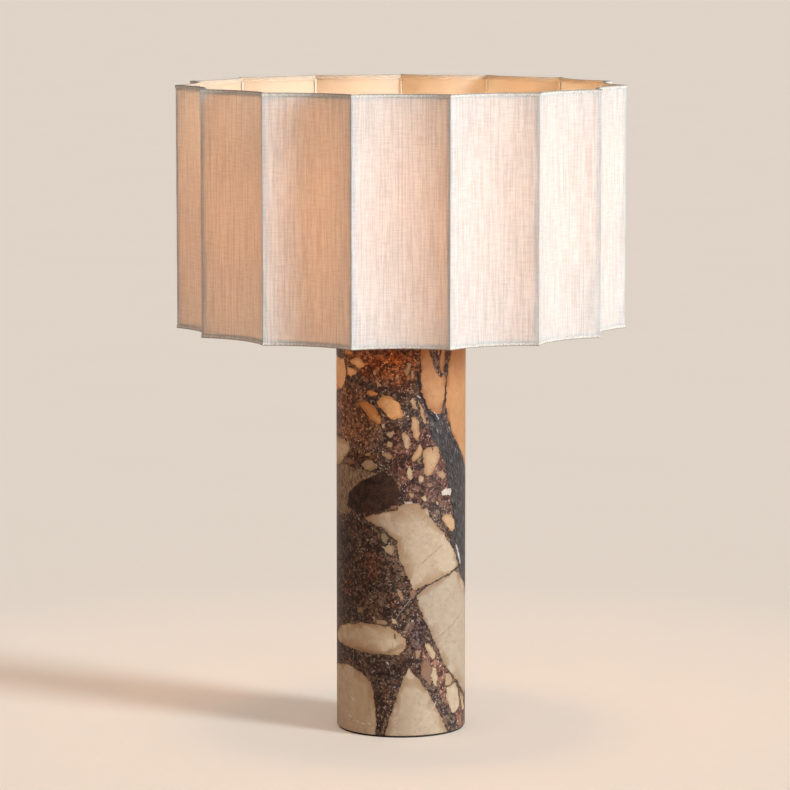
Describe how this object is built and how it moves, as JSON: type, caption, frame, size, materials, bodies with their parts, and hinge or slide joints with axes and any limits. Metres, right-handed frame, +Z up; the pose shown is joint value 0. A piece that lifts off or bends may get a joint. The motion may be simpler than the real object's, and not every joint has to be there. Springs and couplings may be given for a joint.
{
  "type": "column table lamp",
  "caption": "Table lamp with a round breccia marble column, a clamped lampholder and a linen drum shade of concave flutes.",
  "frame": {"origin": "centre of the foot pad underside, where the lamp stands", "axes": "+Z up along the column, -Y to the front (the side in the picture), +X to the viewer's right"},
  "size_m": [0.4476, 0.4451, 0.65],
  "materials": {
    "marble": "honed breccia marble, cream and tan clasts in a dark red-brown ground",
    "felt": "black felt",
    "zinc_steel": "zinc plated",
    "brass": "satin brass",
    "black_nylon": "black nylon",
    "white_nylon": "natural nylon",
    "brown_wire": "brown insulation",
    "blue_wire": "blue insulation",
    "green_wire": "green and yellow insulation",
    "holder_plastic": "white lampholder thermoplastic",
    "porcelain": "white porcelain",
    "aluminium": "bare lamp cap",
    "black_glass": "black cap insulator",
    "bulb_plastic": "white lamp body",
    "led_board": "white board with lamp chips",
    "opal": "opal diffuser, lit warm white",
    "fibre": "vulcanised fibre",
    "white_wire": "white powder coat",
    "linen": "slubby off-white linen",
    "liner": "translucent white shade liner",
    "binding": "folded linen tape"
  },
  "bodies": {
    "lamp_base": {"base_nut": "zinc_steel", "base_plate": "zinc_steel", "base_washer": "zinc_steel", "block_screws": "zinc_steel", "centre_contact": "brass", "clamp_screws": "zinc_steel", "cord_inlet": "black_nylon", "earth_screw": "brass", "earth_tag": "brass", "earth_wire": "green_wire", "foot_pad": "felt", "holder_cap": "holder_plastic", "holder_core": "porcelain", "holder_shell": "holder_plastic", "holder_terminals": "brass", "live_wire": "brown_wire", "marble_column": "marble", "neck": "brass", "neutral_wire": "blue_wire", "screw_shell": "brass", "terminal_barrels": "brass", "terminal_block": "white_nylon", "tie_rod": "zinc_steel", "top_nut": "brass", "top_plate": "brass", "top_washer": "brass"},
    "bulb": {"bulb_insulator": "black_glass", "bulb_cap": "aluminium", "bulb_collar": "bulb_plastic", "led_board": "led_board", "bulb_globe": "opal"},
    "bulb_lift": {"bulb_button": "zinc_steel"},
    "clamp_lift": {"slip_washer": "fibre"},
    "clamp_ring": {"clamp_ring": "holder_plastic"},
    "shade": {"fitter_ring": "white_wire", "fitter_arm_1": "white_wire", "fitter_arm_2": "white_wire", "fitter_arm_3": "white_wire", "frame_struts": "white_wire", "frame_top_ring": "white_wire", "frame_bottom_ring": "white_wire", "shade_liner": "liner", "linen_panel_01": "linen", "linen_panel_02": "linen", "linen_panel_03": "linen", "linen_panel_04": "linen", "linen_panel_05": "linen", "linen_panel_06": "linen", "linen_panel_07": "linen", "linen_panel_08": "linen", "linen_panel_09": "linen", "linen_panel_10": "linen", "linen_panel_11": "linen", "linen_panel_12": "linen", "linen_panel_13": "linen", "linen_panel_14": "linen", "linen_panel_15": "linen", "top_binding": "binding", "bottom_binding": "binding"}
  },
  "joints": [
    {"name": "shade_turn", "type": "hinge", "parent": "lamp_base", "child": "shade", "pos_m": [0, 0, 0.4702], "axis": [0, 0, 1], "continuous": true},
    {"name": "clamp_ring_rise", "type": "slide", "parent": "lamp_base", "child": "clamp_lift", "axis": [0, 0, 1], "range_m": [0, 0.0151]},
    {"name": "clamp_ring_unscrew", "type": "hinge", "parent": "clamp_lift", "child": "clamp_ring", "pos_m": [0, 0, 0.4764], "axis": [0, 0, 1], "range_deg": [0, 1800]},
    {"name": "bulb_rise", "type": "slide", "parent": "lamp_base", "child": "bulb_lift", "axis": [0, 0, 1], "range_m": [0, 0.0146]},
    {"name": "bulb_unscrew", "type": "hinge", "parent": "bulb_lift", "child": "bulb", "pos_m": [0, 0, 0.53], "axis": [0, 0, 1], "range_deg": [0, 1440]}
  ],
  "couplings": [
    {"joint": "clamp_ring_rise", "follows": "clamp_ring_unscrew", "m_per_rad": 0.00047746},
    {"joint": "bulb_rise", "follows": "bulb_unscrew", "m_per_rad": 0.00057614}
  ]
}
